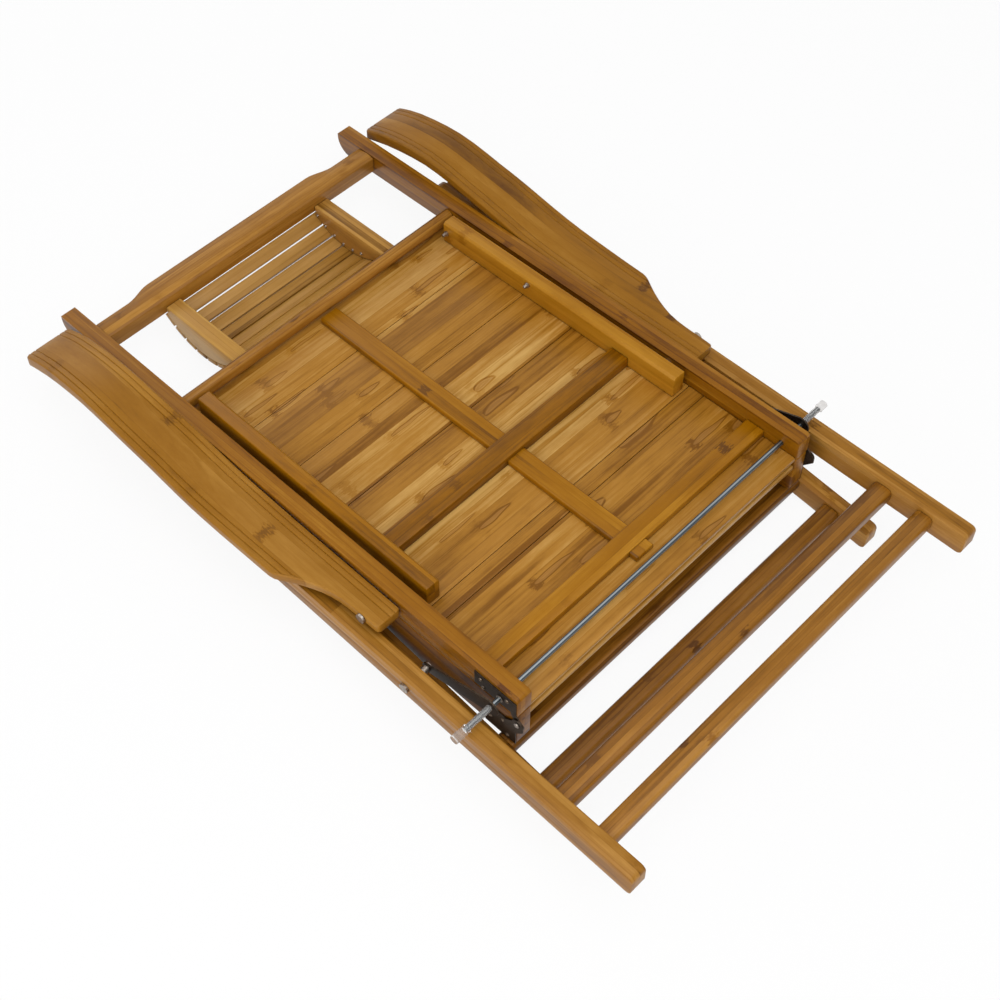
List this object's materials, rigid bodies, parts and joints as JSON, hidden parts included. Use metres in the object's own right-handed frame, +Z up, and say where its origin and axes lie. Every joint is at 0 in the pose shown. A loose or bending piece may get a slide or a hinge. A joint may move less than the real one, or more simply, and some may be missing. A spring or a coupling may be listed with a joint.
{
  "type": "folding recliner chair",
  "caption": "Folding bamboo recliner, shown folded flat: slatted seat and backrest in side rails, half-round headrest, curved armrests, crossed legs with rails, hinge straps and a pivot rod.",
  "frame": {"origin": "centre of the base of the bounding box, on the floor the folded chair lies on", "axes": "+X from the headrest to the feet, +Y across the chair, +Z up from the floor"},
  "size_m": [1.0034, 0.65, 0.1316],
  "materials": {
    "bamboo": "clear satin lacquer over caramel-toned bamboo",
    "dark_steel": "dark zinc-coated steel",
    "zinc_rod": "bright zinc-plated",
    "clear_cap": "milky translucent"
  },
  "bodies": {
    "seat": {"seat_rail_left": "bamboo", "seat_rail_right": "bamboo", "seat_board_1": "bamboo", "seat_board_2": "bamboo", "seat_board_3": "bamboo", "seat_front_board": "bamboo", "seat_rear_bar": "bamboo", "seat_hinge_leaf_left": "dark_steel", "seat_hinge_leaf_right": "dark_steel"},
    "backrest": {"back_rail_left": "bamboo", "back_rail_right": "bamboo", "top_crossbar": "bamboo", "headrest_block_left": "bamboo", "headrest_block_right": "bamboo", "headrest_slat_1": "bamboo", "headrest_slat_2": "bamboo", "headrest_slat_3": "bamboo", "headrest_slat_4": "bamboo", "headrest_slat_5": "bamboo", "headrest_slat_6": "bamboo", "headrest_slat_7": "bamboo", "second_crossbar": "bamboo", "back_board_1": "bamboo", "back_board_2": "bamboo", "back_board_3": "bamboo", "back_board_4": "bamboo", "back_board_5": "bamboo", "back_board_6": "bamboo", "back_board_7": "bamboo", "back_board_8": "bamboo", "back_cleat_left": "bamboo", "back_cleat_right": "bamboo", "centre_batten": "bamboo", "mid_batten": "bamboo", "lower_batten": "bamboo", "hinge_rod": "zinc_rod", "rod_cap_left": "clear_cap", "rod_cap_right": "clear_cap", "back_hinge_leaf_left": "dark_steel", "back_hinge_leaf_right": "dark_steel", "arm_bolt_left": "dark_steel", "arm_bolt_right": "dark_steel"},
    "links": {"strap_left": "dark_steel", "strap_right": "dark_steel"},
    "outer_legs": {"outer_leg_left": "bamboo", "outer_leg_right": "bamboo", "outer_crossbar_foot": "bamboo", "outer_crossbar_upper": "bamboo", "strap_bolt_left": "dark_steel", "strap_bolt_right": "dark_steel", "leg_pivot_pin_left": "dark_steel", "leg_pivot_pin_right": "dark_steel"},
    "inner_legs": {"inner_leg_left": "bamboo", "inner_leg_right": "bamboo", "inner_crossbar_foot": "bamboo", "inner_crossbar_upper": "bamboo"},
    "arms": {"armrest_left": "bamboo", "armrest_right": "bamboo", "arm_bracket_left": "dark_steel", "arm_bracket_right": "dark_steel"}
  },
  "joints": [
    {"name": "back_fold", "type": "hinge", "parent": "seat", "child": "backrest", "pos_m": [0.29848, 0, 0.09119], "axis": [0, 1, 0], "range_deg": [0, 107.16]},
    {"name": "strap_swing", "type": "hinge", "parent": "backrest", "child": "links", "pos_m": [0.27048, 0, 0.11234], "axis": [0, -1, 0], "range_deg": [0, 229.1]},
    {"name": "outer_leg_swing", "type": "hinge", "parent": "links", "child": "outer_legs", "pos_m": [0.17687, 0, 0.0739], "axis": [0, 1, 0], "range_deg": [0, 148.8]},
    {"name": "inner_leg_swing", "type": "hinge", "parent": "outer_legs", "child": "inner_legs", "pos_m": [-0.32489, 0, 0.05331], "axis": [0, 1, 0], "range_deg": [0, 74.9]},
    {"name": "arm_swing", "type": "hinge", "parent": "backrest", "child": "arms", "pos_m": [0.09368, 0, 0.10333], "axis": [0, -1, 0], "range_deg": [0, 105.3]}
  ],
  "couplings": [
    {"joint": "strap_swing", "follows": "back_fold", "ratio": 2.137},
    {"joint": "outer_leg_swing", "follows": "back_fold", "ratio": 1.3883},
    {"joint": "inner_leg_swing", "follows": "back_fold", "ratio": 0.69876},
    {"joint": "arm_swing", "follows": "back_fold", "ratio": 0.98173}
  ]
}
